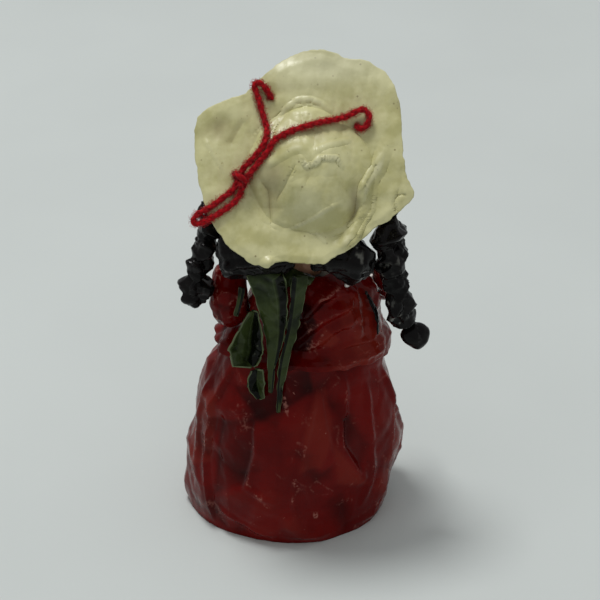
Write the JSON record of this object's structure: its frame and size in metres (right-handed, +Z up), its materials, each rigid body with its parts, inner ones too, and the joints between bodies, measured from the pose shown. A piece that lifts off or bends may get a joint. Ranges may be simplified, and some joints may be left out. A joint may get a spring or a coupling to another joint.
{
  "type": "small papier-mache doll with a hanging loop",
  "caption": "Small standing papier-mache doll in a wide cream hat, black braids, green scarf, red jacket and skirt, with a red yarn hanging loop.",
  "frame": {"origin": "centre of the base's flat underside", "axes": "+Z up, the doll faces +Y, +X is the doll's right"},
  "size_m": [0.0611, 0.0457, 0.1255],
  "materials": {
    "red_paper": "glossy",
    "cream_paper": "satin",
    "black_paper": "glossy",
    "green_paper": "satin",
    "white_paper": "satin",
    "skin_paper": "satin",
    "newsprint": "matte",
    "cardboard": "matte",
    "bamboo": "satin",
    "wire": "satin",
    "red_yarn": "matte"
  },
  "bodies": {
    "figure": {"base_board": "cardboard", "skirt_core": "newsprint", "skirt_shell": "red_paper", "skirt_lap_left": "red_paper", "skirt_pleat_right": "red_paper", "spine_stick": "bamboo", "shoulder_wire": "wire", "neck_roll": "newsprint", "torso_core": "newsprint", "jacket_shell": "red_paper", "jacket_hem": "red_paper", "jacket_fold_upper": "red_paper", "jacket_fold_lower": "red_paper", "jacket_seam_strip": "black_paper", "collar_patch": "white_paper", "scarf_band": "green_paper", "scarf_tail_wide": "green_paper", "scarf_tail_narrow": "green_paper", "scarf_tail_folded": "green_paper", "scarf_tip_short": "green_paper", "scarf_strand": "green_paper"},
    "head": {"head": "skin_paper", "hair_cap": "black_paper", "forelock_left": "black_paper", "forelock_right": "black_paper", "hair_wrap_left": "black_paper", "hair_wrap_right": "black_paper", "left_braid": "black_paper", "right_braid": "black_paper", "right_braid_curl": "black_paper", "hat_brim": "cream_paper", "hat_crown": "cream_paper", "yarn_stop_left": "red_yarn", "yarn_stop_right": "red_yarn", "yarn_hook_left": "red_yarn", "yarn_hook_right": "red_yarn"},
    "left_arm": {"left_sleeve": "red_paper", "left_cuff": "white_paper", "left_hand": "skin_paper"},
    "right_arm": {"right_sleeve": "red_paper", "right_cuff": "white_paper", "right_hand": "skin_paper"},
    "hanger": {"yarn_tail_left": "red_yarn", "yarn_tail_right": "red_yarn", "yarn_twist": "red_yarn", "yarn_knot": "red_yarn", "yarn_loop": "red_yarn"}
  },
  "joints": [
    {"name": "head_turn", "type": "hinge", "parent": "figure", "child": "head", "pos_m": [0.004, 0, 0.082], "axis": [0, 0, 1], "range_deg": [-7, 7]},
    {"name": "left_arm_swing", "type": "hinge", "parent": "figure", "child": "left_arm", "pos_m": [-0.0141, 0.0026, 0.067], "axis": [1, 0, 0], "range_deg": [-10, 60]},
    {"name": "right_arm_swing", "type": "hinge", "parent": "figure", "child": "right_arm", "pos_m": [0.0244, 0.0026, 0.067], "axis": [1, 0, 0], "range_deg": [-10, 60]},
    {"name": "hanger_flip", "type": "hinge", "parent": "head", "child": "hanger", "pos_m": [0.00625, -0.00192, 0.11717], "axis": [-0.9681, 0.1454, 0.2039], "range_deg": [0, 140]}
  ]
}
